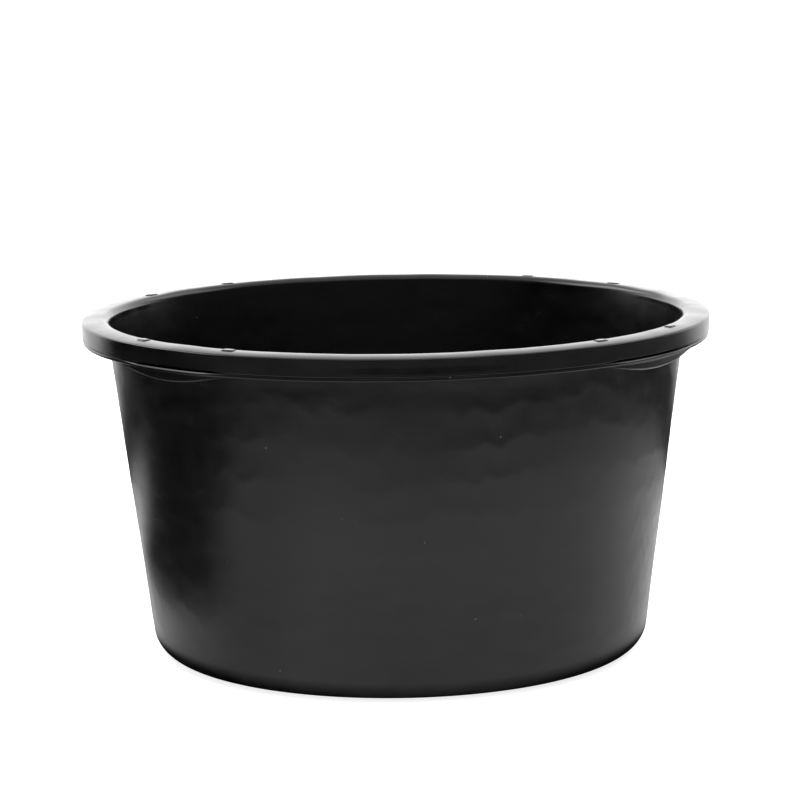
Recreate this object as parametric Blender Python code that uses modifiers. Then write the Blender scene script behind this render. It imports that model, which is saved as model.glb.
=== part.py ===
"""Round mortar mixing tub, 65 litres, moulded in black polyethylene.

Metres, +Z up, origin on the ground under the centre of the tub.  The front, with
the plain label panel, faces -Y.  The real tub is one moulding.  It is modelled as
the regions that its section is made of, each a closed solid, with a hair gap
between neighbours.
"""
import math

import bmesh
import bpy
from mathutils import Matrix, Vector

# --- Driving dimensions ------------------------------------------------------
RIM_RADIUS = 0.300          # outside of the skirt
HEIGHT = 0.3262             # ground to the crest of the rim
WALL = 0.0032               # wall thickness
TAPER = math.radians(7.3)   # lean of the wall from vertical
BASE_RADIUS = 0.2361        # outer wall carried down to the ground
FOOT_CORNER = 0.026         # outer radius of the base corner

GAP = 0.0003                # hair gap between neighbouring regions
SEGMENTS = 72               # facets round every turned region

# --- Rim ---------------------------------------------------------------------
# The rim's arch as arcs, each a radius and the slope in degrees at its outer end.
RISE_ARCS = ((0.0062, 25.0), (0.0110, 0.0))        # from the inner face up to the crest
FALL_ARCS = ((0.0550, -9.0), (0.0900, -13.0))      # from the crest out to the outer corner
RIM_SPLIT_Z = HEIGHT - 0.0095      # where the rim top ends and wall and skirt begin
HOLLOW_TOP_Z = HEIGHT - 0.0056     # ceiling of the rim's hollow
SKIRT_FOOT_Z = HEIGHT - 0.0186
BEAD_FOOT_Z = HEIGHT - 0.0224
BEAD_INSET = 0.0006         # the bead stands this far inside the skirt's face
BEAD_DEPTH = 0.0052
SHOULDER_FOOT_Z = HEIGHT - 0.0370
SHOULDER_STEP = 0.0004      # the wall grows by this under the rim
SHOULDER_RAMP = 0.0240      # height over which it grows
HOLLOW_FILLET = 0.0030      # chamfer in the root of the rim's hollow
SKIRT_CHAMFER = 0.0008
BEAD_CHAMFER = 0.0012

# --- Foot and floor ----------------------------------------------------------
FLOOR_RADIUS = 0.188
FLOOR_LIFT = 0.0020
FLOOR_THICKNESS = 0.0036
FOOT_RAMP = 0.009           # width over which the foot rises to the floor panel
FOOT_TOP_Z = 0.034
GATE_RADIUS = 0.009
GATE_THICKNESS = 0.0011
GATE_DRAFT = 0.85           # lower radius as a share of the upper one

# --- Features set round the rim ----------------------------------------------
GRIP_ANGLE = math.radians(48.0)        # from the front or the rear axis
GRIP_HALF_WIDTH = math.radians(14.0)
GRIP_DEPTH = 0.0105
GRIP_EDGE = 0.0012                     # thickness of a gusset at its two ends
GRIP_INSET = 0.0016                    # a gusset starts this far behind the bead's face
GRIP_FULLNESS = 0.75                   # under 1 makes a gusset's section squarer than an ellipse
GRIP_NOTCH = 0.0008                    # how much the skirt is cut back over a grip
NOTCH_DRAFT = 0.94                     # upper width of a notch as a share of the lower one
NUB_ANGLES = (35.5, 57.5, 125.0, 147.0)   # degrees from the front, on either side
NUB_RING = 0.2855                      # radius that the nubs are centred on
NUB_LENGTH = 0.0130
NUB_WIDTH = 0.0080
NUB_HEIGHT = 0.0006
NUB_TOP_SCALE = 0.72                   # upper face as a share of the lower one
NUB_CORNER = 0.0022
LABEL_HALF_WIDTH = 0.0755
LABEL_THICKNESS = 0.0034
LABEL_FULLNESS = 0.85                  # the panel's bulge as a share of the skirt's
LABEL_FLATNESS = 4                     # power of the curve that runs off to its two ends
RIB_COUNT = 16
RIB_THICKNESS = 0.0024
RIB_DEPTH = 0.0070
RIB_INNER_CLEAR = 0.0035               # between a rib and the wall
RIB_OUTER_CLEAR = 0.0045               # between a rib and the skirt
CUT_DEPTH = 0.060                      # radial length of the tools that cut the skirt

# --- Colours -----------------------------------------------------------------
MATT_BLACK = (0.018, 0.018, 0.018)
BLACK = (0.020, 0.020, 0.020)
SHINY_BLACK = (0.030, 0.030, 0.030)


# --- Helpers -----------------------------------------------------------------
def wall_radius(height):
    """Outer radius of the tapered wall at a height."""
    return BASE_RADIUS + height * math.tan(TAPER)


def arc(centre, radius, start, end, steps):
    """Points on an arc in the (radius, height) plane, angles in degrees."""
    points = []
    for step in range(steps + 1):
        angle = math.radians(start + (end - start) * step / steps)
        points.append((centre[0] + radius * math.cos(angle),
                       centre[1] + radius * math.sin(angle)))
    return points


def bend(points, heading, radius, slope, steps):
    """Carry points on along a clockwise arc, from a heading to a slope, both in radians."""
    start = points[-1]
    for step in range(1, steps + 1):
        now = heading + (slope - heading) * step / steps
        points.append((start[0] + radius * (math.sin(heading) - math.sin(now)),
                       start[1] + radius * (math.cos(now) - math.cos(heading))))


def make_material(name, colour, roughness):
    """A Principled material in one plain colour."""
    material = bpy.data.materials.new(name)
    material.use_nodes = True
    shader = material.node_tree.nodes["Principled BSDF"]
    shader.inputs["Base Color"].default_value = (*colour, 1.0)
    shader.inputs["Roughness"].default_value = roughness
    shader.inputs["Metallic"].default_value = 0.0
    return material


def add_object(name, mesh, collection, material=None):
    """Link a mesh as a named object, with its own material if it has one."""
    item = bpy.data.objects.new(name, mesh)
    collection.objects.link(item)
    if material is not None:
        mesh.materials.append(material)
    return item


def shade(item, sharp_degrees=35.0):
    """Smooth shading with sharp edges kept."""
    item.data.shade_smooth()
    item.data.set_sharp_from_angle(angle=math.radians(sharp_degrees))


def turned(name, profile, collection, material=None, closed=True):
    """A solid of revolution about +Z from a section that runs down its outer side."""
    mesh = bpy.data.meshes.new(name)
    shape = bmesh.new()
    verts = [shape.verts.new((radius, 0.0, height)) for radius, height in profile]
    for first, second in zip(verts, verts[1:]):
        shape.edges.new((first, second))
    if closed:
        shape.edges.new((verts[-1], verts[0]))
    shape.to_mesh(mesh)
    shape.free()
    item = add_object(name, mesh, collection, material)
    screw = item.modifiers.new("turn", "SCREW")
    screw.axis = "Z"
    screw.angle = 2.0 * math.pi
    screw.steps = SEGMENTS
    screw.render_steps = SEGMENTS
    screw.use_merge_vertices = True
    screw.merge_threshold = 0.00005
    screw.use_smooth_shade = True
    return item


def cut(item, cutter):
    """Take a cutter away from an object."""
    boolean = item.modifiers.new("cut_" + cutter.name, "BOOLEAN")
    boolean.operation = "DIFFERENCE"
    boolean.solver = "EXACT"
    boolean.object = cutter


def box_cutter(name, size, centre, spin, collection, top_scale=1.0):
    """A wire box used for cutting, with its upper face narrowed along X if wanted."""
    mesh = bpy.data.meshes.new(name)
    shape = bmesh.new()
    bmesh.ops.create_cube(shape, size=1.0)
    for vert in shape.verts:
        narrow = top_scale if vert.co.z > 0.0 else 1.0
        vert.co = Vector((vert.co.x * size[0] * narrow, vert.co.y * size[1], vert.co.z * size[2]))
    shape.to_mesh(mesh)
    shape.free()
    item = add_object(name, mesh, collection)
    item.matrix_world = Matrix.Rotation(spin, 4, "Z") @ Matrix.Translation(centre)
    item.display_type = "WIRE"
    item.hide_render = True
    return item


def grip_spins():
    """Name and turn about Z, from the -Y front, of each of the four grips."""
    return (("front_left", -GRIP_ANGLE),
            ("front_right", GRIP_ANGLE),
            ("rear_left", math.pi + GRIP_ANGLE),
            ("rear_right", math.pi - GRIP_ANGLE))


# --- Foot, floor and wall ----------------------------------------------------
def build_floor(parts):
    """Flat floor panel, lifted clear of the ground."""
    top = FLOOR_LIFT + FLOOR_THICKNESS
    profile = [(0.0, top),
               (FLOOR_RADIUS - GAP, top),
               (FLOOR_RADIUS - GAP, FLOOR_LIFT),
               (0.0, FLOOR_LIFT)]
    material = make_material("floor_plastic", MATT_BLACK, roughness=0.50)
    shade(turned("floor_panel", profile, parts, material, closed=False))


def build_gate(parts):
    """Round gate mark, hanging under the middle of the floor."""
    mesh = bpy.data.meshes.new("gate_boss")
    shape = bmesh.new()
    bmesh.ops.create_cone(shape, cap_ends=True, cap_tris=False, segments=24,
                          radius1=GATE_RADIUS * GATE_DRAFT, radius2=GATE_RADIUS, depth=GATE_THICKNESS)
    shape.to_mesh(mesh)
    shape.free()
    item = add_object("gate_boss", mesh, parts, make_material("gate_plastic", BLACK, roughness=0.60))
    item.location = (0.0, 0.0, FLOOR_LIFT - GAP - GATE_THICKNESS / 2.0)
    shade(item)


def build_foot(parts):
    """Ring that the tub stands on, with the rounded corner up into the wall."""
    lean = math.degrees(TAPER)
    tangent = FOOT_CORNER * math.tan(math.radians(45.0) - TAPER / 2.0)
    centre = (BASE_RADIUS - tangent, FOOT_CORNER)
    outer = arc(centre, FOOT_CORNER, -lean, -90.0, 6)
    inner = arc(centre, FOOT_CORNER - WALL, -90.0, -lean, 5)
    across = WALL / math.cos(TAPER)
    profile = [(wall_radius(FOOT_TOP_Z), FOOT_TOP_Z)]
    profile += outer
    profile += [(FLOOR_RADIUS + FOOT_RAMP, 0.0),
                (FLOOR_RADIUS, FLOOR_LIFT),
                (FLOOR_RADIUS, FLOOR_LIFT + FLOOR_THICKNESS),
                (FLOOR_RADIUS + FOOT_RAMP, WALL)]
    profile += inner
    profile.append((wall_radius(FOOT_TOP_Z) - across, FOOT_TOP_Z))
    material = make_material("foot_plastic", MATT_BLACK, roughness=0.45)
    shade(turned("foot_ring", profile, parts, material), 50.0)


def build_wall(parts):
    """Tapered side wall between the foot and the shoulder."""
    across = WALL / math.cos(TAPER)
    low = FOOT_TOP_Z + GAP
    high = SHOULDER_FOOT_Z - GAP
    profile = [(wall_radius(high), high),
               (wall_radius(low), low),
               (wall_radius(low) - across, low),
               (wall_radius(high) - across, high)]
    material = make_material("wall_plastic", BLACK, roughness=0.40)
    shade(turned("side_wall", profile, parts, material))


def build_shoulder(parts):
    """Slightly thicker band of wall that carries the rim."""
    across = WALL / math.cos(TAPER)
    high = RIM_SPLIT_Z - GAP
    low = SHOULDER_FOOT_Z
    step_z = low + SHOULDER_RAMP
    profile = [(wall_radius(high) + SHOULDER_STEP, high),
               (wall_radius(step_z) + SHOULDER_STEP, step_z),
               (wall_radius(low), low),
               (wall_radius(low) - across, low),
               (wall_radius(high) - across, high)]
    material = make_material("shoulder_plastic", BLACK, roughness=0.42)
    shade(turned("shoulder_band", profile, parts, material), 50.0)


# --- Rim ---------------------------------------------------------------------
def rim_arch():
    """Points over the rim, from the inner face up to the crest and out to the skirt's face."""
    upright = math.pi / 2.0 - TAPER
    heading = upright
    rise = 0.0
    for radius, slope in RISE_ARCS:
        rise += radius * (math.cos(math.radians(slope)) - math.cos(heading))
        heading = math.radians(slope)
    start_z = HEIGHT - rise
    points = [(wall_radius(start_z) - WALL / math.cos(TAPER), start_z)]
    heading = upright
    for radius, slope in RISE_ARCS + FALL_ARCS:
        bend(points, heading, radius, math.radians(slope), 3)
        heading = math.radians(slope)
    corner = (RIM_RADIUS - points[-1][0]) / (1.0 + math.sin(heading))
    bend(points, heading, corner, -math.pi / 2.0, 3)
    return points


def build_rim_top(parts):
    """Top of the rim: rounded up from the inside, then falling gently to the outer corner."""
    inner_face = wall_radius(RIM_SPLIT_Z) - WALL / math.cos(TAPER)
    root = wall_radius(RIM_SPLIT_Z) + SHOULDER_STEP
    profile = [(inner_face, RIM_SPLIT_Z)]
    profile += rim_arch()
    profile += [(RIM_RADIUS, RIM_SPLIT_Z),
                (RIM_RADIUS - WALL, RIM_SPLIT_Z),
                (RIM_RADIUS - WALL, HOLLOW_TOP_Z - HOLLOW_FILLET / 2.0),
                (RIM_RADIUS - WALL - HOLLOW_FILLET / 2.0, HOLLOW_TOP_Z),
                (root + HOLLOW_FILLET, HOLLOW_TOP_Z),
                (root, HOLLOW_TOP_Z - HOLLOW_FILLET),
                (root, RIM_SPLIT_Z)]
    material = make_material("rim_plastic", SHINY_BLACK, roughness=0.38)
    shade(turned("rim_top", profile, parts, material), 50.0)


def build_skirt(parts, cutters):
    """Vertical skirt, cut back a little over each grip and open for the label panel."""
    high = RIM_SPLIT_Z - GAP
    profile = [(RIM_RADIUS, high),
               (RIM_RADIUS, SKIRT_FOOT_Z + SKIRT_CHAMFER),
               (RIM_RADIUS - SKIRT_CHAMFER, SKIRT_FOOT_Z),
               (RIM_RADIUS - WALL, SKIRT_FOOT_Z),
               (RIM_RADIUS - WALL, high)]
    material = make_material("skirt_plastic", BLACK, roughness=0.45)
    skirt = turned("rim_skirt", profile, parts, material)
    width = 2.0 * RIM_RADIUS * math.sin(GRIP_HALF_WIDTH)
    for name, spin in grip_spins():
        cutter = box_cutter("notch_" + name, (width, CUT_DEPTH, 2.0 * GRIP_NOTCH),
                            (0.0, -RIM_RADIUS, SKIRT_FOOT_Z), spin, cutters, top_scale=NOTCH_DRAFT)
        cut(skirt, cutter)
    window = box_cutter("label_window", (2.0 * LABEL_HALF_WIDTH, CUT_DEPTH, CUT_DEPTH),
                        (0.0, -RIM_RADIUS, SKIRT_FOOT_Z), 0.0, cutters)
    cut(skirt, window)
    shade(skirt)


def build_bead(parts):
    """Rounded bead that hems the foot of the skirt all the way round."""
    top = SKIRT_FOOT_Z - GAP
    face = RIM_RADIUS - BEAD_INSET
    profile = [(face - BEAD_CHAMFER, top),
               (face, top - BEAD_CHAMFER),
               (face, BEAD_FOOT_Z + BEAD_CHAMFER),
               (face - BEAD_CHAMFER, BEAD_FOOT_Z),
               (face - BEAD_DEPTH, BEAD_FOOT_Z),
               (face - BEAD_DEPTH, top)]
    material = make_material("bead_plastic", SHINY_BLACK, roughness=0.35)
    shade(turned("hem_bead", profile, parts, material), 50.0)


def build_label(parts):
    """Plain panel that closes the skirt at the front, flatter than the skirt."""
    high = RIM_SPLIT_Z - GAP
    half = LABEL_HALF_WIDTH - GAP
    end_y = math.sqrt(RIM_RADIUS ** 2 - half ** 2)
    middle_y = end_y + (RIM_RADIUS - end_y) * LABEL_FULLNESS
    steps = 8
    outline = []
    for step in range(steps + 1):
        across = 2.0 * step / steps - 1.0
        y = middle_y - (middle_y - end_y) * abs(across) ** LABEL_FLATNESS
        outline.append((half * across, -y))
    mesh = bpy.data.meshes.new("label_panel")
    shape = bmesh.new()
    face = [shape.verts.new((x, y, high)) for x, y in outline]
    back = [shape.verts.new((x, y + LABEL_THICKNESS, high)) for x, y in reversed(outline)]
    top = shape.faces.new(face + back)
    drop = bmesh.ops.extrude_face_region(shape, geom=[top])
    lowered = [part for part in drop["geom"] if isinstance(part, bmesh.types.BMVert)]
    bmesh.ops.translate(shape, verts=lowered, vec=(0.0, 0.0, SKIRT_FOOT_Z - high))
    bmesh.ops.recalc_face_normals(shape, faces=shape.faces)
    shape.to_mesh(mesh)
    shape.free()
    material = make_material("label_plastic", BLACK, roughness=0.50)
    shade(add_object("label_panel", mesh, parts, material))


def build_gusset(name, spin, parts):
    """Crescent bulge that closes the rim's hollow over a grip and rounds into the wall."""
    top = BEAD_FOOT_Z - GAP
    reach = RIM_RADIUS - BEAD_INSET - GRIP_INSET
    columns = 12
    rows = 5
    mesh = bpy.data.meshes.new(name)
    shape = bmesh.new()
    sections = []
    for column in range(columns + 1):
        place = 2.0 * column / columns - 1.0
        angle = place * GRIP_HALF_WIDTH
        depth = GRIP_EDGE + (GRIP_DEPTH - GRIP_EDGE) * (1.0 - place * place)
        ring = []
        for row in range(rows + 1):
            turn = math.radians(90.0) * row / rows
            height = top - depth * math.sin(turn) ** GRIP_FULLNESS
            clear = wall_radius(height) + SHOULDER_STEP + 2.0 * GAP
            radius = clear + (reach - clear) * abs(math.cos(turn)) ** GRIP_FULLNESS
            ring.append((radius, height))
        foot_z = ring[-1][1]
        ring[-1] = (wall_radius(foot_z) + SHOULDER_STEP + 4.0 * GAP, foot_z)
        ring.append((wall_radius(top) + SHOULDER_STEP + 2.0 * GAP, top))
        sections.append([shape.verts.new((r * math.sin(angle), -r * math.cos(angle), z))
                         for r, z in ring])
    for left, right in zip(sections, sections[1:]):
        count = len(left)
        for index in range(count):
            after = (index + 1) % count
            shape.faces.new((left[index], left[after], right[after], right[index]))
    shape.faces.new(sections[0])
    shape.faces.new(sections[-1])
    bmesh.ops.recalc_face_normals(shape, faces=shape.faces)
    shape.to_mesh(mesh)
    shape.free()
    item = add_object(name, mesh, parts, make_material(name + "_plastic", BLACK, roughness=0.42))
    item.matrix_world = Matrix.Rotation(spin, 4, "Z")
    shade(item, 40.0)


def build_nub(name, spin, parts):
    """Small rounded pad on the rim's crest that keeps stacked tubs apart."""
    mesh = bpy.data.meshes.new(name)
    shape = bmesh.new()
    bmesh.ops.create_cube(shape, size=1.0)
    for vert in shape.verts:
        narrow = NUB_TOP_SCALE if vert.co.z > 0.0 else 1.0
        vert.co = Vector((vert.co.x * NUB_LENGTH * narrow,
                          vert.co.y * NUB_WIDTH * narrow,
                          vert.co.z * NUB_HEIGHT))
    upright = [edge for edge in shape.edges
               if abs(edge.verts[0].co.z - edge.verts[1].co.z) > NUB_HEIGHT / 2.0]
    bmesh.ops.bevel(shape, geom=upright, offset=NUB_CORNER, segments=2, affect="EDGES")
    shape.to_mesh(mesh)
    shape.free()
    item = add_object(name, mesh, parts, make_material(name + "_plastic", SHINY_BLACK, roughness=0.40))
    middle_z = HEIGHT + GAP + NUB_HEIGHT / 2.0
    item.matrix_world = Matrix.Rotation(spin, 4, "Z") @ Matrix.Translation((0.0, -NUB_RING, middle_z))
    shade(item)


def build_rib(name, spin, parts):
    """Thin radial rib that stiffens the hollow of the rim."""
    top = HOLLOW_TOP_Z - GAP
    bottom = HOLLOW_TOP_Z - RIB_DEPTH
    inner = wall_radius(top) + SHOULDER_STEP + RIB_INNER_CLEAR
    outer = RIM_RADIUS - WALL - RIB_OUTER_CLEAR
    mesh = bpy.data.meshes.new(name)
    shape = bmesh.new()
    bmesh.ops.create_cube(shape, size=1.0)
    for vert in shape.verts:
        vert.co = Vector((vert.co.x * RIB_THICKNESS,
                          vert.co.y * (outer - inner),
                          vert.co.z * (top - bottom)))
    shape.to_mesh(mesh)
    shape.free()
    item = add_object(name, mesh, parts, make_material(name + "_plastic", BLACK, roughness=0.50))
    centre = (0.0, -(outer + inner) / 2.0, (top + bottom) / 2.0)
    item.matrix_world = Matrix.Rotation(spin, 4, "Z") @ Matrix.Translation(centre)


# --- Assembly ----------------------------------------------------------------
def build_tub():
    """All regions of the tub."""
    for item in list(bpy.data.objects):
        bpy.data.objects.remove(item, do_unlink=True)
    parts = bpy.data.collections.new("mortar_tub")
    cutters = bpy.data.collections.new("cutters")
    bpy.context.scene.collection.children.link(parts)
    bpy.context.scene.collection.children.link(cutters)

    build_floor(parts)
    build_gate(parts)
    build_foot(parts)
    build_wall(parts)
    build_shoulder(parts)
    build_rim_top(parts)
    build_skirt(parts, cutters)
    build_bead(parts)
    build_label(parts)
    for name, spin in grip_spins():
        build_gusset("grip_gusset_" + name, spin, parts)
    number = 0
    for side in (-1.0, 1.0):
        for degrees in NUB_ANGLES:
            number += 1
            build_nub("stacking_nub_" + str(number), side * math.radians(degrees), parts)
    for index in range(RIB_COUNT):
        spin = 2.0 * math.pi * (index + 0.5) / RIB_COUNT
        build_rib("rim_rib_" + str(index + 1), spin, parts)


build_tub()
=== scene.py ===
"""Looks of the round mortar mixing tub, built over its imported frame.

Every region of the moulding gets its own closed skin.  Neighbouring skins meet edge to
edge and share one field of small waves, so that the tub reads as one black moulding.
Metres; spins are measured about +Z from the -Y front towards +X.
"""

import math

import bmesh
import bpy
import numpy as np
from mathutils import Matrix, Vector


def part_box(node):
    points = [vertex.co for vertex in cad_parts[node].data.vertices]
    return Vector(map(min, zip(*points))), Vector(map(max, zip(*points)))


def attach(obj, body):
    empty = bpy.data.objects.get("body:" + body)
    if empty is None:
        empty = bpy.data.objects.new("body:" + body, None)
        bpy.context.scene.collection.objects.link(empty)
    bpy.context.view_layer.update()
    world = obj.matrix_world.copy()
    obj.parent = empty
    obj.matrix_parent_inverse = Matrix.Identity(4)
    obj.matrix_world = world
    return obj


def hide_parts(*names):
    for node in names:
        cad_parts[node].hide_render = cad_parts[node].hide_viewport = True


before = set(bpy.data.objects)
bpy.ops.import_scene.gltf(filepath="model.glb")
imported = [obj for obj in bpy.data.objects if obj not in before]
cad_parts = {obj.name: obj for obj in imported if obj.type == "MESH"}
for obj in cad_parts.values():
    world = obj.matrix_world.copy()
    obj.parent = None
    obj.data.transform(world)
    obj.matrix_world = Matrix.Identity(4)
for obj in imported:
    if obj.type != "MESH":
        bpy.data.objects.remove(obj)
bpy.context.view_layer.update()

# --- Sizes read from the frame -----------------------------------------------
RIM_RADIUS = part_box("rim_skirt")[1].x
CREST_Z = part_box("rim_top")[1].z
RIM_SPLIT_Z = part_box("rim_top")[0].z
SKIRT_FOOT_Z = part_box("label_panel")[0].z
BEAD_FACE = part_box("hem_bead")[1].x
BEAD_FOOT_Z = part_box("hem_bead")[0].z
SHOULDER_FOOT_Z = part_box("shoulder_band")[0].z
WALL_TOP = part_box("side_wall")[1]
FOOT_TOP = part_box("foot_ring")[1]
FLOOR_LOW, FLOOR_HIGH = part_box("floor_panel")
GATE_LOW, GATE_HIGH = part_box("gate_boss")
SLOPE = (WALL_TOP.x - FOOT_TOP.x) / (WALL_TOP.z - FOOT_TOP.z)
TAPER = math.atan(SLOPE)

# --- Sizes of the skins ------------------------------------------------------
HAIR_GAP = 0.0003                   # gap that the frame leaves between neighbours
WALL = 0.0032
SHOULDER_STEP = 0.0004
SHOULDER_RAMP = 0.0240
SHOULDER_ROWS = 13

FLOOR_RINGS = 60
GATE_ROUND = 0.0006
GATE_SCAR = ((0.0042, 0.0), (0.0036, 0.0004), (0.0021, 0.0005), (0.0014, 0.0))  # radius, lift
FOOT_CORNER = 0.026
FOOT_RAMP = 0.009
FOOT_RISE = ((1.0, 0.0), (0.6, 0.35), (0.3, 0.8), (0.0, 1.0))   # shares of the ramp's width, height
FOOT_EASE = (0.3, 0.0002)           # share of the ramp's width, dip of its inside there

# The rim's arch as arcs, each a radius and the slope in degrees at its outer end.
RISE_ARCS = ((0.0062, 25.0), (0.0110, 0.0))     # from the inner face up to the crest
FALL_ARCS = ((0.0900, -5.0), (0.0620, -13.0))   # from the crest out to the outer corner
HOLLOW_DROP = 0.0056
HOLLOW_FILLET = 0.0030
HOLLOW_CORNER = 0.0015
SKIRT_ROUND = 0.0009

BEAD_DEPTH = 0.0052
BEAD_ROUND = 0.0014
BEAD_SLANT = 0.0006                 # how far the bead's face leans back over a grip
BEAD_SLOPE = 0.0012                 # height of that leaning part
BEAD_SINK = 0.0009                  # how far the bead's top drops over a grip
BEAD_STEPS = 9

LABEL_SPIN = math.asin((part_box("label_panel")[1].x + HAIR_GAP) / RIM_RADIUS)
LABEL_RECESS = 0.0005
LABEL_FADE = 0.0060                 # depth below the rim over which the recess comes in
LABEL_END = math.radians(3.2)       # width of the fluted block at either end of the label
LABEL_EDGE = (0.94, 1.12)           # where the recess steps in, in widths of that block
LABEL_FLUTES = 5
LABEL_COLUMNS = 241
FLUTE_DEPTH = 0.00030

GRIP_SPIN = math.radians(47.5)
GRIP_HALF = math.radians(13.3)
GRIP_COLUMNS = 97
GRIP_THINNING = 1.3                 # over 1 draws a gusset's two ends out thin
GRIP_NOTCH = 0.0012                 # how far the skirt's foot is cut back over a grip
GRIP_DEPTH = 0.0094
GRIP_EDGE = 0.03                    # depth at a gusset's ends, as a share of its full depth
GRIP_INSET = 0.0012
GRIP_SLOPE = 0.00126                # the slope between the bead and the gusset's face
GRIP_HEEL = 0.0012                  # radius between that slope and the face
GRIP_ROUND = 0.0030
GRIP_FLARE = 0.0013                 # how far the bead swells out over a grip
# Where notch, bead and gusset ease back at a grip's ends, in half widths from its middle.
NOTCH_EASE = (0.72, 1.04)
BEAD_EASE = (0.55, 1.1)
GUSSET_EASE = (0.55, 1.0)

NUB_SIZE = (0.0065, 0.0040)         # half length round the rim, half width across it
NUB_ROOT = 0.0007
NUB_SQUARENESS = 4                  # 2 is an ellipse
NUB_STEPS = 48
# Share of the pad's size and of its height, from the foot up to the flat top.
NUB_RINGS = ((1.20, 0.0), (1.12, 0.36), (1.05, 0.52), (0.97, 0.68), (0.88, 0.83), (0.78, 0.94),
             (0.66, 1.0), (0.40, 1.0))

RIB_HALF = 0.0012
RIB_TIE = 0.0004                    # how far a rib runs into the wall and the skirt
RIB_HEAD = 0.0012                   # and up into the rim
RIB_CUT = 0.0040                    # its outer top corner is cut off by this much
RIB_HOLLOW = 0.0030
RIB_STEPS = 14
RIB_BEVEL = 0.0004

# --- Grid and waves of the moulding ------------------------------------------
COLUMNS = 540
ROW = 0.0027
FINE_ROW = 0.0012
SHARP_ANGLE = math.radians(42.0)    # edges sharper than this aren't shaded smooth
SEAM_STEP = 0.0003
BAND = 0.0345                       # height of one flow band
BAND_WOBBLE = 0.14                  # how far a band wanders, in bands
BAND_HEIGHT = 0.00007
BAND_STRENGTH = (0.75, 0.35)        # middle and spread of how strong the bands are
BAND_HARMONICS = (1, 2, 3, 4)
LUMP_HEIGHT = 0.00014
WAVES_START = (0.022, 0.045)        # heights over which the wall's waves come in
WAVES_END = SHOULDER_FOOT_Z - 0.004
WAVES_DEPTH = (0.004, 0.008)        # distance from the wall's middle over which they fade
INNER_TURN = 2.3                    # turns the inner face's waves away from the outer's
RIM_SWAY = 0.00025
SWAY_START = 0.05
RIM_LIFT = 0.00012

FULL_TURN = np.linspace(0.0, 2.0 * math.pi, COLUMNS, endpoint=False)


# --- Waves -------------------------------------------------------------------
def cosines(seed, count, turns, rise, power):
    """Seeded list of waves that close round the tub: turns, rate of climb, phase, weight."""
    draw = np.random.default_rng(seed)
    waves = []
    for _ in range(count):
        turn = int(draw.integers(turns[0], turns[1]))
        climb = draw.uniform(-1.0, 1.0) * rise
        waves.append((turn, climb, draw.uniform(0.0, 2.0 * math.pi), (turns[0] / turn) ** power))
    total = math.sqrt(sum(wave[3] ** 2 for wave in waves) / 2.0)
    return [(turn, climb, phase, weight / total) for turn, climb, phase, weight in waves]


def field(waves, spin, height):
    """Sum of the waves, with a spread of about one."""
    total = np.zeros(np.broadcast(spin, height).shape)
    for turn, climb, phase, weight in waves:
        total += weight * np.cos(turn * spin + climb * height + phase)
    return total


WANDER = cosines(3, 34, (5, 95), 60.0, 0.8)
STRENGTH = cosines(5, 8, (4, 18), 40.0, 0.4)
LUMPS = cosines(11, 12, (3, 16), 45.0, 0.5)
SWAY = cosines(17, 4, (2, 6), 0.0, 1.0)
LIFT = cosines(19, 9, (5, 40), 0.0, 0.5)


def smooth(low, high, value):
    """Smooth step from 0 at low to 1 at high."""
    share = np.clip((value - low) / (high - low), 0.0, 1.0)
    return share * share * (3.0 - 2.0 * share)


def wall_radius(height):
    """Outer radius of the tapered wall."""
    return FOOT_TOP.x + (height - FOOT_TOP.z) * SLOPE


def inner_radius(height):
    """Inner radius of the tapered wall."""
    return wall_radius(height) - WALL / math.cos(TAPER)


def moulded(spin, radius, height):
    """Radius and height with the waves: bands and lumps in the wall, sway and lift at the rim."""
    middle = wall_radius(height) - WALL / 2.0
    turned_spin = spin + np.where(radius < middle, INNER_TURN, 0.0)
    band = height / BAND + BAND_WOBBLE * field(WANDER, turned_spin, height)
    scoop = sum(np.cos(2.0 * math.pi * k * band) / k ** 2 for k in BAND_HARMONICS)
    strength = BAND_STRENGTH[0] + BAND_STRENGTH[1] * field(STRENGTH, turned_spin, height)
    wave = BAND_HEIGHT * strength * scoop + LUMP_HEIGHT * field(LUMPS, turned_spin, height)
    on_wall = smooth(*WAVES_START, height) * (1.0 - smooth(WAVES_END, RIM_SPLIT_Z, height))
    near_wall = 1.0 - smooth(*WAVES_DEPTH, np.abs(radius - middle))
    sway = RIM_SWAY * smooth(SWAY_START, CREST_Z, height) * field(SWAY, spin, 0.0 * height)
    lift = RIM_LIFT * smooth(RIM_SPLIT_Z, CREST_Z, height) * field(LIFT, spin, 0.0 * height)
    return radius + wave * on_wall * near_wall + sway, height + lift


# --- Paths in the (radius, height) plane -------------------------------------
def straight(start, end, spacing=ROW):
    """Points from start to end, with one very close to either end to carry the shading on."""
    length = math.dist(start, end)
    count = max(1, round(length / spacing))
    shares = [0.0, SEAM_STEP / length]
    shares += [step / count for step in range(1, count)]
    shares += [1.0 - SEAM_STEP / length, 1.0]
    return [(start[0] + (end[0] - start[0]) * share, start[1] + (end[1] - start[1]) * share)
            for share in shares]


def arc(centre, radius, start, end, steps):
    """Points on an arc, angles in degrees."""
    points = []
    for step in range(steps + 1):
        angle = math.radians(start + (end - start) * step / steps)
        points.append((centre[0] + radius * math.cos(angle), centre[1] + radius * math.sin(angle)))
    return points


def bend(points, heading, radius, turn, steps):
    """Carry a path on along an arc that turns clockwise, and return the new heading."""
    start = points[-1]
    for step in range(1, steps + 1):
        now = heading - turn * step / steps
        points.append((start[0] + radius * (math.sin(heading) - math.sin(now)),
                       start[1] + radius * (math.cos(now) - math.cos(heading))))
    return heading - turn


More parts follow.
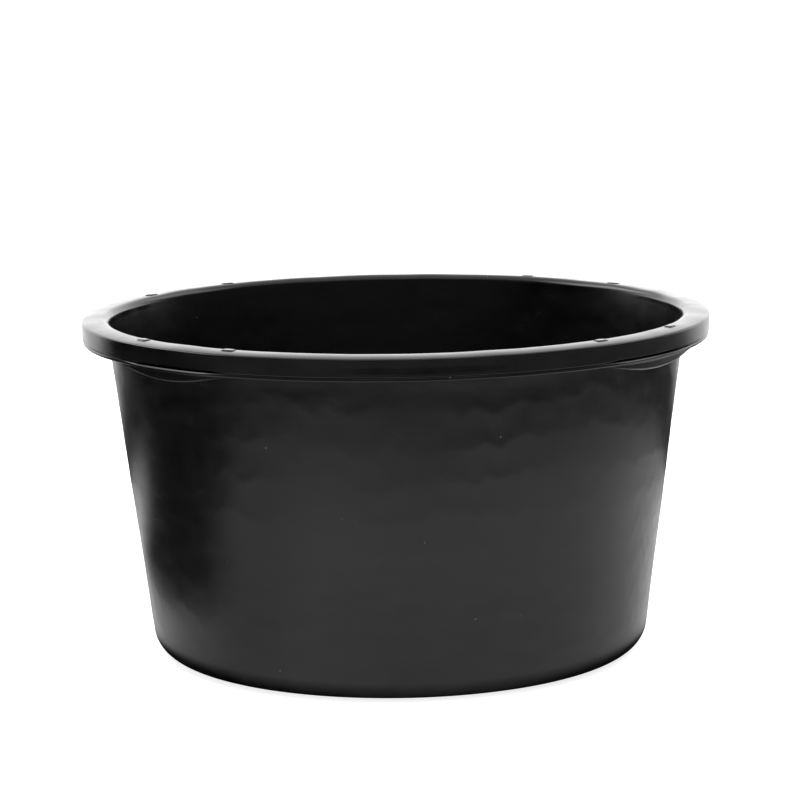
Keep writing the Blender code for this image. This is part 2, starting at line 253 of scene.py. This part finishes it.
# --- Meshes ------------------------------------------------------------------
def add_object(name, verts, faces, material):
    """A mesh object in the scene."""
    mesh = bpy.data.meshes.new(name)
    mesh.from_pydata(verts, [], faces)
    mesh.materials.append(material)
    item = bpy.data.objects.new(name, mesh)
    bpy.context.scene.collection.objects.link(item)
    return item


def add_skin(node, verts, faces, material):
    """A smooth skin that rides on the tub and stands for one CAD node."""
    piece = add_object(node + "_skin", verts, faces, material)
    piece.data.validate()
    piece.data.shade_smooth()
    piece.data.set_sharp_from_angle(angle=SHARP_ANGLE)
    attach(piece, "root")
    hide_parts(node)


def strips(columns, points, whole=False, closed=True):
    """Faces between neighbouring columns of points.

    Whole joins the last column to the first; closed joins the two ends of every column.
    """
    faces = []
    for column in range(columns if whole else columns - 1):
        here, there = column * points, (column + 1) % columns * points
        for point in range(points if closed else points - 1):
            after = (point + 1) % points
            faces.append((here + point, here + after, there + after, there + point))
    return faces


def placed(spins, radius, height):
    """Vertices of points carried round the tub, with its waves."""
    radius, height = moulded(spins[:, None], radius, height)
    places = np.stack((radius * np.sin(spins)[:, None], -radius * np.cos(spins)[:, None], height), axis=2)
    return places.reshape(-1, 3).tolist()


def turned(node, section, material):
    """A closed skin all the way round from one section."""
    radius, height = np.array(section).T
    verts = placed(FULL_TURN, radius, height)
    add_skin(node, verts, strips(COLUMNS, len(section), whole=True), material)


def capped(node, spins, radius, height, material):
    """A closed skin part of the way round, from a section at each spin."""
    columns, points = height.shape
    last = (columns - 1) * points
    faces = strips(columns, points)
    faces.append(tuple(range(points - 1, -1, -1)))
    faces.append(tuple(last + point for point in range(points)))
    add_skin(node, placed(spins, radius, height), faces, material)


def disc(node, upper, lower, material):
    """A turned disc: rings from the axis out along the upper side and back along the lower."""
    radius, height = np.array(upper + lower).T
    points = len(height)
    verts = placed(FULL_TURN, radius, height)
    top, foot = len(verts), len(verts) + 1
    verts += [(0.0, 0.0, upper[0][1]), (0.0, 0.0, lower[-1][1])]
    faces = strips(COLUMNS, points, whole=True, closed=False)
    for column in range(COLUMNS):
        here, there = column * points, (column + 1) % COLUMNS * points
        faces.append((top, here, there))
        faces.append((foot, there + points - 1, here + points - 1))
    add_skin(node, verts, faces, material)


# --- Shader nodes ------------------------------------------------------------
RAMP_TOP = 3.0                      # the highest level that a ramp holds


def new_material(name, blank=False):
    """A material and its node tree, emptied if blank."""
    material = bpy.data.materials.new(name)
    material.use_nodes = True
    if blank:
        material.node_tree.nodes.clear()
    return material, material.node_tree


def add_node(tree, kind, values=(), **settings):
    """A shader node with its settings and the values of its named inputs."""
    item = tree.nodes.new(kind)
    for key, value in settings.items():
        setattr(item, key, value)
    for key, value in dict(values).items():
        item.inputs[key].default_value = value
    return item


def finish_tree(tree, kind, result):
    """Add an output node of the kind given, and link a shader or background to it."""
    tree.links.new(result, add_node(tree, kind).inputs["Surface"])


def split(tree, vector):
    """The X, Y and Z of a vector, by name."""
    axes = add_node(tree, "ShaderNodeSeparateXYZ")
    tree.links.new(vector, axes.inputs["Vector"])
    return axes.outputs


def mapped(tree, value, low, high, to_low=0.0, to_high=1.0, easing="LINEAR"):
    """Value moved from one range to another, held at its ends."""
    item = add_node(tree, "ShaderNodeMapRange", {"From Min": low, "From Max": high,
                                                 "To Min": to_low, "To Max": to_high},
                    interpolation_type=easing)
    tree.links.new(value, item.inputs["Value"])
    return item.outputs["Result"]


def stepped(tree, value, limits):
    """Smooth step from 0 at the first limit to 1 at the second."""
    return mapped(tree, value, *limits, easing="SMOOTHSTEP")


def combined(tree, operation, first, *others):
    """Output of Math nodes that take outputs or numbers one after another."""
    for other in others:
        item = add_node(tree, "ShaderNodeMath", operation=operation)
        for index, value in enumerate((first, other)):
            if isinstance(value, float):
                item.inputs[index].default_value = value
            else:
                tree.links.new(value, item.inputs[index])
        first = item.outputs["Value"]
    return first


def ramped(tree, value, low, high, stops):
    """Value that eases between stops, each a place between low and high and a level."""
    ramp = add_node(tree, "ShaderNodeValToRGB")
    ramp.color_ramp.interpolation = "EASE"
    while len(ramp.color_ramp.elements) < len(stops):
        ramp.color_ramp.elements.new(0.5)
    for element, (place, level) in zip(ramp.color_ramp.elements, stops):
        element.position = (place - low) / (high - low)
        element.color = (level / RAMP_TOP, level / RAMP_TOP, level / RAMP_TOP, 1.0)
    tree.links.new(mapped(tree, value, low, high), ramp.inputs["Fac"])
    return combined(tree, "MULTIPLY", ramp.outputs["Color"], RAMP_TOP)


def noise(tree, place, scale, detail, stretch=1.0):
    """Noise in the frame's own coordinates, drawn out round the tub by a stretch over 1."""
    mapping = add_node(tree, "ShaderNodeMapping", {"Scale": (1.0, 1.0, stretch)})
    tree.links.new(place, mapping.inputs["Vector"])
    item = add_node(tree, "ShaderNodeTexNoise", {"Scale": scale, "Detail": detail})
    tree.links.new(mapping.outputs["Vector"], item.inputs["Vector"])
    return item.outputs["Fac"]


# --- Plastic -----------------------------------------------------------------
# Scale, detail and stretch of each noise, and the share of each one that is mixed in.
STREAKS, STREAK_SHARE = (22.0, 6.0, 3.2), 0.6
CLOUDS, CLOUD_SHARE = (60.0, 4.0), 0.4
PEEL = (190.0, 3.0, 1.3)
GRAIN, GRAIN_SHARE = (900.0, 3.0), 0.22
PLASTIC_IOR = 1.5
TONES = (0.35, 0.65)                # range of the mixed noise that is used
BLACKS = (0.0032, 0.0070)
SPECK_CELLS = 42.0
SPECK_SIZE = (0.012, 0.030)
SPECK_GREY = 0.16


def plastic(name, roughness, mottle, peel):
    """Black recycled polyethylene: streaked, faintly mottled, with a few light specks.

    Mottle is how far the roughness strays either way, and peel the height of the fine waves.
    """
    material, tree = new_material(name)
    shader = tree.nodes["Principled BSDF"]
    shader.inputs["IOR"].default_value = PLASTIC_IOR
    place = add_node(tree, "ShaderNodeTexCoord").outputs["Object"]

    tone = combined(tree, "ADD",
                    combined(tree, "MULTIPLY", noise(tree, place, *STREAKS), STREAK_SHARE),
                    combined(tree, "MULTIPLY", noise(tree, place, *CLOUDS), CLOUD_SHARE))
    cells = add_node(tree, "ShaderNodeTexVoronoi", {"Scale": SPECK_CELLS})
    tree.links.new(place, cells.inputs["Vector"])
    speck = mapped(tree, cells.outputs["Distance"], *SPECK_SIZE, SPECK_GREY, 0.0)
    grey = combined(tree, "MAXIMUM", mapped(tree, tone, *TONES, *BLACKS), speck)
    colour = add_node(tree, "ShaderNodeCombineColor")
    for channel in ("Red", "Green", "Blue"):
        tree.links.new(grey, colour.inputs[channel])
    tree.links.new(colour.outputs["Color"], shader.inputs["Base Color"])

    rough = mapped(tree, tone, *TONES, roughness - mottle, roughness + mottle)
    tree.links.new(rough, shader.inputs["Roughness"])

    grain = combined(tree, "MULTIPLY", noise(tree, place, *GRAIN), GRAIN_SHARE)
    surface = combined(tree, "ADD", noise(tree, place, *PEEL), grain)
    bump = add_node(tree, "ShaderNodeBump", {"Strength": 1.0, "Distance": peel})
    tree.links.new(surface, bump.inputs["Height"])
    tree.links.new(bump.outputs["Normal"], shader.inputs["Normal"])
    return material


# --- Body of the tub ---------------------------------------------------------
def build_floor(material):
    """Flat floor panel."""
    shares = [step / FLOOR_RINGS for step in range(1, FLOOR_RINGS + 1)]
    upper = [(FLOOR_HIGH.x * share, FLOOR_HIGH.z) for share in shares]
    lower = [(FLOOR_HIGH.x * share, FLOOR_LOW.z) for share in reversed(shares)]
    disc("floor_panel", upper, lower, material)


def build_gate(material):
    """Gate mark under the floor: a low disc with a shallow ring round its broken-off point."""
    reach, foot = GATE_HIGH.x, GATE_LOW.z
    top = GATE_HIGH.z + HAIR_GAP
    lower = arc((reach - GATE_ROUND, foot + GATE_ROUND), GATE_ROUND, 0.0, -90.0, 5)
    lower += [(radius, foot + lift) for radius, lift in GATE_SCAR]
    disc("gate_boss", [(reach * 0.5, top), (reach, top)], lower, material)


def build_foot(material):
    """Standing ring with its rounded corner up into the wall."""
    lean = math.degrees(TAPER)
    centre = (wall_radius(0.0) - FOOT_CORNER * math.tan(math.radians(45.0) - TAPER / 2.0), FOOT_CORNER)
    outer = arc(centre, FOOT_CORNER, -lean, -90.0, 18)
    inner = arc(centre, FOOT_CORNER - WALL, -90.0, -lean, 16)
    edge = FLOOR_HIGH.x
    section = straight((FOOT_TOP.x, FOOT_TOP.z), outer[0])[:-1] + outer
    section += [(edge + FOOT_RAMP * across, FLOOR_LOW.z * up) for across, up in FOOT_RISE]
    section += [(edge, FLOOR_HIGH.z), (edge + FOOT_RAMP * FOOT_EASE[0], FLOOR_HIGH.z - FOOT_EASE[1]),
                (edge + FOOT_RAMP, WALL)]
    section += inner + straight(inner[-1], (inner_radius(FOOT_TOP.z), FOOT_TOP.z))[1:]
    turned("foot_ring", section, material)


def build_wall(material):
    """Tapered side wall, from the foot up to the shoulder."""
    low, high = FOOT_TOP.z, SHOULDER_FOOT_Z
    section = straight((wall_radius(high), high), (wall_radius(low), low))
    section += straight((inner_radius(low), low), (inner_radius(high), high))
    turned("side_wall", section, material)


def build_shoulder(material):
    """Slightly thicker top of the wall, which carries the rim."""
    low, high = SHOULDER_FOOT_Z, RIM_SPLIT_Z
    heights = np.concatenate(([high, high - SEAM_STEP],
                              np.linspace(high - ROW, low + ROW / 3.0, SHOULDER_ROWS),
                              [low + SEAM_STEP, low]))
    section = [(wall_radius(z) + SHOULDER_STEP * float(smooth(low, low + SHOULDER_RAMP, z)), float(z))
               for z in heights]
    section += straight((inner_radius(low), low), (inner_radius(high), high))
    turned("shoulder_band", section, material)


# --- Rim ---------------------------------------------------------------------
def build_rim_top(material):
    """Arched top of the rim, falling gently outwards to a tight corner over the skirt."""
    slope = math.pi / 2.0 - TAPER
    rise = 0.0
    for radius, end in RISE_ARCS:
        rise += radius * (math.cos(math.radians(end)) - math.cos(slope))
        slope = math.radians(end)
    start = CREST_Z - rise
    section = straight((inner_radius(RIM_SPLIT_Z), RIM_SPLIT_Z), (inner_radius(start), start))
    heading = math.pi / 2.0 - TAPER
    for radius, end in RISE_ARCS + FALL_ARCS:
        heading = bend(section, heading, radius, heading - math.radians(end), 8)
    corner = (RIM_RADIUS - section[-1][0]) / (1.0 + math.sin(heading))
    bend(section, heading, corner, heading + math.pi / 2.0, 12)
    section += straight(section[-1], (RIM_RADIUS, RIM_SPLIT_Z), 0.001)[1:]
    root = wall_radius(RIM_SPLIT_Z) + SHOULDER_STEP
    outer = RIM_RADIUS - WALL
    under = CREST_Z - HOLLOW_DROP
    section += [(outer, RIM_SPLIT_Z)]
    section += arc((outer - HOLLOW_CORNER, under - HOLLOW_CORNER), HOLLOW_CORNER, 0.0, 90.0, 6)
    section += arc((root + HOLLOW_FILLET, under - HOLLOW_FILLET), HOLLOW_FILLET, 90.0, 180.0, 6)
    section += [(root, RIM_SPLIT_Z)]
    turned("rim_top", section, material)


def near_grip(spin):
    """Distance of a spin from the nearest grip's middle, in half widths of a grip."""
    folded = np.arccos(np.abs(np.cos(spin)))
    return np.abs(folded - GRIP_SPIN) / GRIP_HALF


def skirt_section():
    """Section of the skirt, from its top outside down, under and up again."""
    foot = SKIRT_FOOT_Z
    section = straight((RIM_RADIUS, RIM_SPLIT_Z), (RIM_RADIUS, foot + SKIRT_ROUND), FINE_ROW)
    section += arc((RIM_RADIUS - SKIRT_ROUND, foot + SKIRT_ROUND), SKIRT_ROUND, 0.0, -90.0, 6)[1:]
    section += straight((RIM_RADIUS - WALL, foot), (RIM_RADIUS - WALL, RIM_SPLIT_Z), 0.002)
    return np.array(section)


def hung(node, spins, recess, material):
    """A stretch of the skirt, cut back over the grips and set in by a recess at each spin."""
    loop = skirt_section()
    drop = RIM_SPLIT_Z - loop[:, 1]
    notch = GRIP_NOTCH * (1.0 - smooth(*NOTCH_EASE, near_grip(spins)))
    keep = 1.0 - notch / (RIM_SPLIT_Z - SKIRT_FOOT_Z)
    height = RIM_SPLIT_Z - keep[:, None] * drop
    radius = loop[:, 0] - recess[:, None] * smooth(0.0, LABEL_FADE, drop)
    capped(node, spins, radius, height, material)


def build_skirt(material):
    """Vertical skirt, open at the front for the label panel."""
    spins = np.linspace(LABEL_SPIN, 2.0 * math.pi - LABEL_SPIN, COLUMNS)
    hung("rim_skirt", spins, np.zeros(len(spins)), material)


def build_label(material):
    """Plain recessed panel with a fluted block at either end."""
    spins = np.linspace(-LABEL_SPIN, LABEL_SPIN, LABEL_COLUMNS)
    inward = (LABEL_SPIN - np.abs(spins)) / LABEL_END
    ripple = 1.0 - np.cos(2.0 * math.pi * LABEL_FLUTES * np.clip(inward, 0.0, 1.0))
    recess = FLUTE_DEPTH / 2.0 * ripple + LABEL_RECESS * smooth(*LABEL_EDGE, inward)
    hung("label_panel", spins, recess, material)


def build_bead(material):
    """Rounded bead that hems the skirt, swelling out and leaning back over the grips."""
    top, foot = SKIRT_FOOT_Z, BEAD_FOOT_Z
    back = BEAD_FACE - BEAD_DEPTH
    sunk = top - BEAD_SINK
    lower = arc((BEAD_FACE - BEAD_ROUND, foot + BEAD_ROUND), BEAD_ROUND, 0.0, -90.0, 7)
    upper = arc((BEAD_FACE - BEAD_ROUND, top - BEAD_ROUND), BEAD_ROUND, 90.0, 0.0, BEAD_STEPS)
    slant = [(BEAD_FACE - BEAD_SLANT * (1.0 - step / BEAD_STEPS), sunk - BEAD_SLOPE * step / BEAD_STEPS)
             for step in range(BEAD_STEPS + 1)]
    plain = np.array(upper + lower + [(back, foot), (back, top)])
    swollen = np.array(slant + lower + [(back, foot), (back, sunk)])
    share = (1.0 - smooth(*BEAD_EASE, near_grip(FULL_TURN)))[:, None]
    radius = plain[:, 0] + share * (swollen - plain)[:, 0]
    height = plain[:, 1] + share * (swollen - plain)[:, 1]
    radius += GRIP_FLARE * share * (radius - back) / BEAD_DEPTH
    faces = strips(COLUMNS, len(plain), whole=True)
    add_skin("hem_bead", placed(FULL_TURN, radius, height), faces, material)


def gusset_path():
    """Outer side of a gusset where it is deepest: a slope, an upright face and a round lower edge."""
    path = [(0.0, 0.0), (-GRIP_SLOPE, -GRIP_SLOPE)]
    heading = bend(path, math.radians(-135.0), -GRIP_HEEL, math.radians(-42.0), 4)
    start = path[-1]
    fall = GRIP_DEPTH - GRIP_ROUND + start[1]
    path += straight(start, (start[0] + fall / math.tan(heading), start[1] - fall), FINE_ROW)[1:]
    bend(path, heading, GRIP_ROUND, math.radians(84.0), 10)
    return np.array(path)


def spin_of(node):
    """Spin of the middle of a node."""
    low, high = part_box(node)
    return math.atan2(low.x + high.x, -(low.y + high.y))


def build_gusset(node, material):
    """Crescent that closes the rim's hollow over a grip."""
    across = np.linspace(-1.0, 1.0, GRIP_COLUMNS)[:, None]
    share = GRIP_EDGE + (1.0 - GRIP_EDGE) * (1.0 - across ** 2) ** GRIP_THINNING
    flare = GRIP_FLARE * (1.0 - smooth(*GUSSET_EASE, np.abs(across)))
    path = gusset_path()
    radius = BEAD_FACE - GRIP_INSET + flare + share * path[:, 0]
    height = BEAD_FOOT_Z + share * path[:, 1]
    foot = height[:, -1:]
    root = wall_radius(foot) + SHOULDER_STEP
    inside = np.full_like(foot, wall_radius(BEAD_FOOT_Z) - WALL / 2.0)
    radius = np.concatenate((radius, root, root - WALL / 2.0, inside), axis=1)
    height = np.concatenate((height, foot, foot, np.full_like(foot, BEAD_FOOT_Z)), axis=1)
    capped(node, spin_of(node) + across[:, 0] * GRIP_HALF, radius, height, material)


def build_nub(node, material):
    """Low flat-topped pad with rounded edges, on the rim's crest."""
    low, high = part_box(node)
    seat = CREST_Z - NUB_ROOT
    outline = []
    for step in range(NUB_STEPS):
        angle = 2.0 * math.pi * step / NUB_STEPS
        cosine, sine = math.cos(angle), math.sin(angle)
        reach = (abs(cosine) ** NUB_SQUARENESS + abs(sine) ** NUB_SQUARENESS) ** (-1.0 / NUB_SQUARENESS)
        outline.append((NUB_SIZE[0] * reach * cosine, NUB_SIZE[1] * reach * sine))
    verts = [(x * share, y * share, seat + (high.z - seat) * lift)
             for share, lift in NUB_RINGS for x, y in outline]
    top, foot = len(verts), len(verts) + 1
    last = top - NUB_STEPS
    verts += [(0.0, 0.0, high.z), (0.0, 0.0, seat)]
    faces = strips(len(NUB_RINGS), NUB_STEPS)
    for step in range(NUB_STEPS):
        after = (step + 1) % NUB_STEPS
        faces.append((top, last + step, last + after))
        faces.append((foot, after, step))
    away = math.hypot(low.x + high.x, low.y + high.y) / 2.0
    turn = Matrix.Rotation(spin_of(node), 4, "Z") @ Matrix.Translation((0.0, -away, 0.0))
    add_skin(node, [tuple(turn @ Vector(vert)) for vert in verts], faces, material)


def build_rib(node, material):
    """Web under the rim with a hollowed lower edge, tied into wall, rim and skirt."""
    low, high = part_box(node)
    inner = wall_radius(high.z) + SHOULDER_STEP - RIB_TIE
    outer = RIM_RADIUS - WALL + RIB_TIE
    top = high.z + RIB_HEAD
    outline = [(outer - RIB_CUT, top), (inner, top)]
    for step in range(RIB_STEPS + 1):
        share = step / RIB_STEPS
        outline.append((inner + (outer - inner) * share, low.z + math.sin(math.pi * share) * RIB_HOLLOW))
    shape = bmesh.new()
    face = shape.faces.new([shape.verts.new((-RIB_HALF, -radius, z)) for radius, z in outline])
    grown = bmesh.ops.extrude_face_region(shape, geom=[face])
    moved = [part for part in grown["geom"] if isinstance(part, bmesh.types.BMVert)]
    bmesh.ops.translate(shape, verts=moved, vec=(2.0 * RIB_HALF, 0.0, 0.0))
    outlines = [edge for edge in shape.edges if abs(edge.verts[0].co.x - edge.verts[1].co.x) < 1e-6]
    bmesh.ops.bevel(shape, geom=outlines, offset=RIB_BEVEL, segments=2, affect="EDGES")
    bmesh.ops.recalc_face_normals(shape, faces=shape.faces)
    shape.transform(Matrix.Rotation(spin_of(node), 4, "Z"))
    shape.verts.index_update()
    verts = [tuple(vert.co) for vert in shape.verts]
    faces = [tuple(vert.index for vert in part.verts) for part in shape.faces]
    shape.free()
    add_skin(node, verts, faces, material)


# --- Studio ------------------------------------------------------------------
CAMERA_DISTANCE = 3.027
CAMERA_HEIGHT = 0.7375
CAMERA_SPIN = math.radians(4.2)
CAMERA_PITCH = math.radians(-9.35)
CAMERA_YAW = math.radians(0.053)
CAMERA_ROLL = -0.0155
CAMERA_LENS = 143.2                 # millimetres, as the sensor is
CAMERA_SENSOR = 36.0
PLANE_HALF = 60.0
FLOOR_GREY = (0.86, 0.86, 0.86, 1.0)
FLOOR_LIFT = 0.84
WHITE = (1.0, 1.0, 1.0, 1.0)

# Glow of the floor by distance from the tub's axis in metres, and by spin in degrees.
GLOW_RINGS = ((0.30, 0.84), (0.45, 0.89), (0.53, 1.00), (0.615, 0.98), (0.70, 0.87),
              (0.79, 0.66), (0.855, 0.41), (0.905, 0.14), (0.96, 0.03), (1.40, 0.03), (2.20, 0.22))
GLOW_REACH = 3.0
GLOW_TURNS = ((-180.0, 1.0), (-120.0, 1.0), (-93.0, 0.9), (-72.0, 0.75), (-52.0, 0.70),
              (-30.0, 0.88), (0.0, 0.83), (55.0, 0.84), (75.0, 0.88), (92.0, 0.98),
              (106.0, 1.0), (180.0, 0.95))
GLOW_SQUEEZE = 0.92                 # under 1 widens the rings from left to right
# No glow right round the tub's foot: a painted contact shadow that only reflections see.
GLOW_CONTACT = (0.220, 0.262)       # distances over which the glow begins, at the tub's foot
GLOW_BEHIND_Y = (0.9, 1.6)
# The painted dark patch that reflections see at the left of the floor, and what is left of the glow
# there.
DARK_LEFT_X = (-0.31, -0.43)
DARK_FRONT_Y = (-0.29, -0.08)
DARK_REAR_Y = (0.50, 0.26)
DARK_LEVEL = 0.03

# The black cloth at the left: its place, its extent and how its edges fade.
FLAG_X = -0.62
FLAG_Y = (-0.60, 0.40)
FLAG_TOP = 0.95
FLAG_FRONT_Y = (-0.56, -0.14)
FLAG_REAR_Y = (0.36, 0.10)
FLAG_TOP_Z = (0.70, 0.36)

# The world: limits along an axis of the direction looked in, and levels between them.
SWEEP_Y = (0.10, 0.75)
SWEEP_Z = (0.60, 0.15)
SWEEP_LEVELS = (0.9, 1.9)
ABOVE_Z = (0.50, 0.95)
ABOVE_LEVELS = (0.09, 1.0)
LEFT_BOX, LEFT_BOX_X = 3.8, (-0.30, -0.60)
RIGHT_BOX, RIGHT_BOX_X = 2.0, (0.30, 0.60)
BOX_FOOT_Z = (0.34, 0.48)
BOX_TOP_Z = (0.88, 0.66)
BOX_FRONT_Y = (-0.25, 0.05)
BACKDROP_LEVEL = 1.1

OVERHEAD_PLACE = (0.3, 0.4, 3.0)
OVERHEAD_SIZE = 4.0
OVERHEAD_WATTS = 90.0


def build_camera():
    """Long lens, a little above the rim, turned a little off the label."""
    data = bpy.data.cameras.new("camera")
    data.lens = CAMERA_LENS
    data.sensor_width = CAMERA_SENSOR
    data.clip_end = 200.0
    camera = bpy.data.objects.new("camera", data)
    bpy.context.scene.collection.objects.link(camera)
    camera.location = (-CAMERA_DISTANCE * math.sin(CAMERA_SPIN),
                       -CAMERA_DISTANCE * math.cos(CAMERA_SPIN), CAMERA_HEIGHT)
    level = Matrix.Rotation(-CAMERA_SPIN - CAMERA_YAW, 4, "Z")
    tip = Matrix.Rotation(math.pi / 2.0 + CAMERA_PITCH, 4, "X")
    roll = Matrix.Rotation(CAMERA_ROLL, 4, "Z")
    camera.rotation_mode = "QUATERNION"
    camera.rotation_quaternion = (level @ tip @ roll).to_quaternion()
    bpy.context.scene.camera = camera


def add_stage(name, corners, material, *unseen_by):
    """A four-cornered surface of the studio, which some kinds of ray don't see."""
    item = add_object(name, corners, [(0, 1, 2, 3)], material)
    for ray in unseen_by:
        setattr(item, "visible_" + ray, False)


def level_square(height):
    """Corners of a very large level square."""
    return [(x * PLANE_HALF, y * PLANE_HALF, height) for x, y in ((-1, -1), (1, -1), (1, 1), (-1, 1))]


def floor_material():
    """Pale matt floor, lifted by a little light of its own so that shadows stay faint."""
    material, tree = new_material("studio_floor")
    shader = tree.nodes["Principled BSDF"]
    shader.inputs["Base Color"].default_value = FLOOR_GREY
    shader.inputs["Roughness"].default_value = 0.9
    shader.inputs["Specular IOR Level"].default_value = 0.0
    shader.inputs["Emission Color"].default_value = WHITE
    shader.inputs["Emission Strength"].default_value = FLOOR_LIFT
    return material


def glow_material():
    """What reflections see of the floor, painted as a glow: a painted contact shadow at the tub's foot,
    bright close by, dark further off and a painted dark patch at the left.
    """
    material, tree = new_material("floor_glow", blank=True)
    place = add_node(tree, "ShaderNodeTexCoord").outputs["Object"]
    axes = split(tree, place)
    squeeze = add_node(tree, "ShaderNodeMapping", {"Scale": (GLOW_SQUEEZE, 1.0, 0.0)})
    tree.links.new(place, squeeze.inputs["Vector"])
    length = add_node(tree, "ShaderNodeVectorMath", operation="LENGTH")
    tree.links.new(squeeze.outputs["Vector"], length.inputs[0])
    distance = length.outputs["Value"]
    toward_front = combined(tree, "MULTIPLY", axes["Y"], -1.0)
    spin = combined(tree, "DIVIDE", combined(tree, "ARCTAN2", axes["X"], toward_front), math.radians(1.0))
    rings = ramped(tree, distance, 0.0, GLOW_REACH, GLOW_RINGS)
    turns = ramped(tree, spin, -180.0, 180.0, GLOW_TURNS)

    # painted contact shadow: the glow is held at nothing round the foot
    contact = stepped(tree, distance, GLOW_CONTACT)
    # painted dark patch at the left, seen only in reflections
    dark = combined(tree, "MULTIPLY", stepped(tree, axes["X"], DARK_LEFT_X),
                    stepped(tree, axes["Y"], DARK_FRONT_Y), stepped(tree, axes["Y"], DARK_REAR_Y))
    dimming = mapped(tree, dark, 0.0, 1.0, 1.0, DARK_LEVEL)
    near = combined(tree, "MULTIPLY", rings, turns, contact, dimming)
    light = combined(tree, "ADD", near, stepped(tree, axes["Y"], GLOW_BEHIND_Y))
    emission = add_node(tree, "ShaderNodeEmission", {"Color": WHITE})
    tree.links.new(light, emission.inputs["Strength"])
    finish_tree(tree, "ShaderNodeOutputMaterial", emission.outputs["Emission"])
    return material


def flag_material():
    """Black cloth whose edges fade out."""
    material, tree = new_material("black_flag", blank=True)
    axes = split(tree, add_node(tree, "ShaderNodeTexCoord").outputs["Object"])
    share = combined(tree, "MULTIPLY", stepped(tree, axes["Y"], FLAG_FRONT_Y),
                     stepped(tree, axes["Y"], FLAG_REAR_Y), stepped(tree, axes["Z"], FLAG_TOP_Z))
    cloth = add_node(tree, "ShaderNodeBsdfDiffuse", {"Color": (0.0, 0.0, 0.0, 1.0)})
    mixed = add_node(tree, "ShaderNodeMixShader")
    tree.links.new(share, mixed.inputs["Fac"])
    tree.links.new(add_node(tree, "ShaderNodeBsdfTransparent").outputs["BSDF"], mixed.inputs[1])
    tree.links.new(cloth.outputs["BSDF"], mixed.inputs[2])
    finish_tree(tree, "ShaderNodeOutputMaterial", mixed.outputs["Shader"])
    return material


def build_world():
    """Light from behind and above, dark in front, and a soft box at either side for reflections."""
    world = bpy.data.worlds.new("studio")
    bpy.context.scene.world = world
    world.use_nodes = True
    tree = world.node_tree
    tree.nodes.clear()
    axes = split(tree, add_node(tree, "ShaderNodeTexCoord").outputs["Generated"])
    rays = add_node(tree, "ShaderNodeLightPath").outputs
    low = stepped(tree, axes["Z"], SWEEP_Z)
    sweep = combined(tree, "MULTIPLY", stepped(tree, axes["Y"], SWEEP_Y),
                     mapped(tree, low, 0.0, 1.0, *SWEEP_LEVELS))
    above = mapped(tree, stepped(tree, axes["Z"], ABOVE_Z), 0.0, 1.0, *ABOVE_LEVELS)
    sides = combined(tree, "ADD",
                     combined(tree, "MULTIPLY", stepped(tree, axes["X"], LEFT_BOX_X), LEFT_BOX),
                     combined(tree, "MULTIPLY", stepped(tree, axes["X"], RIGHT_BOX_X), RIGHT_BOX))
    boxes = combined(tree, "MULTIPLY", sides, stepped(tree, axes["Z"], BOX_FOOT_Z),
                     stepped(tree, axes["Z"], BOX_TOP_Z), stepped(tree, axes["Y"], BOX_FRONT_Y),
                     rays["Is Glossy Ray"])
    backdrop = combined(tree, "MULTIPLY", rays["Is Camera Ray"], BACKDROP_LEVEL)
    strength = combined(tree, "MAXIMUM", sweep, above, boxes, backdrop)
    background = add_node(tree, "ShaderNodeBackground", {"Color": WHITE})
    tree.links.new(strength, background.inputs["Strength"])
    finish_tree(tree, "ShaderNodeOutputWorld", background.outputs["Background"])


def build_light():
    """One large soft box overhead, which reflections don't see."""
    data = bpy.data.lights.new("overhead", "AREA")
    data.shape = "SQUARE"
    data.size = OVERHEAD_SIZE
    data.energy = OVERHEAD_WATTS
    light = bpy.data.objects.new("overhead", data)
    light.location = OVERHEAD_PLACE
    light.visible_glossy = False
    bpy.context.scene.collection.objects.link(light)


def build_stage():
    """Floor, reflections, world, light and the tone of the picture."""
    add_stage("studio_floor", level_square(0.0), floor_material(), "glossy")
    add_stage("floor_glow", level_square(-0.0005), glow_material(),
              "camera", "diffuse", "shadow", "transmission")
    flag = [(FLAG_X, FLAG_Y[0], 0.0), (FLAG_X, FLAG_Y[1], 0.0),
            (FLAG_X, FLAG_Y[1], FLAG_TOP), (FLAG_X, FLAG_Y[0], FLAG_TOP)]
    add_stage("black_flag", flag, flag_material(), "camera", "diffuse", "shadow", "transmission")
    build_world()
    build_light()
    bpy.context.scene.view_settings.view_transform = "Standard"


# --- Assembly ----------------------------------------------------------------
def build_tub():
    """All the skins of the tub."""
    wall = plastic("polyethylene_wall", roughness=0.24, mottle=0.035, peel=0.000025)
    rim = plastic("polyethylene_rim", roughness=0.17, mottle=0.050, peel=0.000020)
    base = plastic("polyethylene_base", roughness=0.36, mottle=0.050, peel=0.000026)
    build_floor(base)
    build_gate(base)
    build_foot(wall)
    build_wall(wall)
    build_shoulder(wall)
    build_rim_top(rim)
    build_skirt(rim)
    build_label(rim)
    build_bead(rim)
    for node in sorted(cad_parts):
        if node.startswith("grip_gusset"):
            build_gusset(node, wall)
        elif node.startswith("stacking_nub"):
            build_nub(node, rim)
        elif node.startswith("rim_rib"):
            build_rib(node, base)


build_camera()
build_stage()
build_tub()
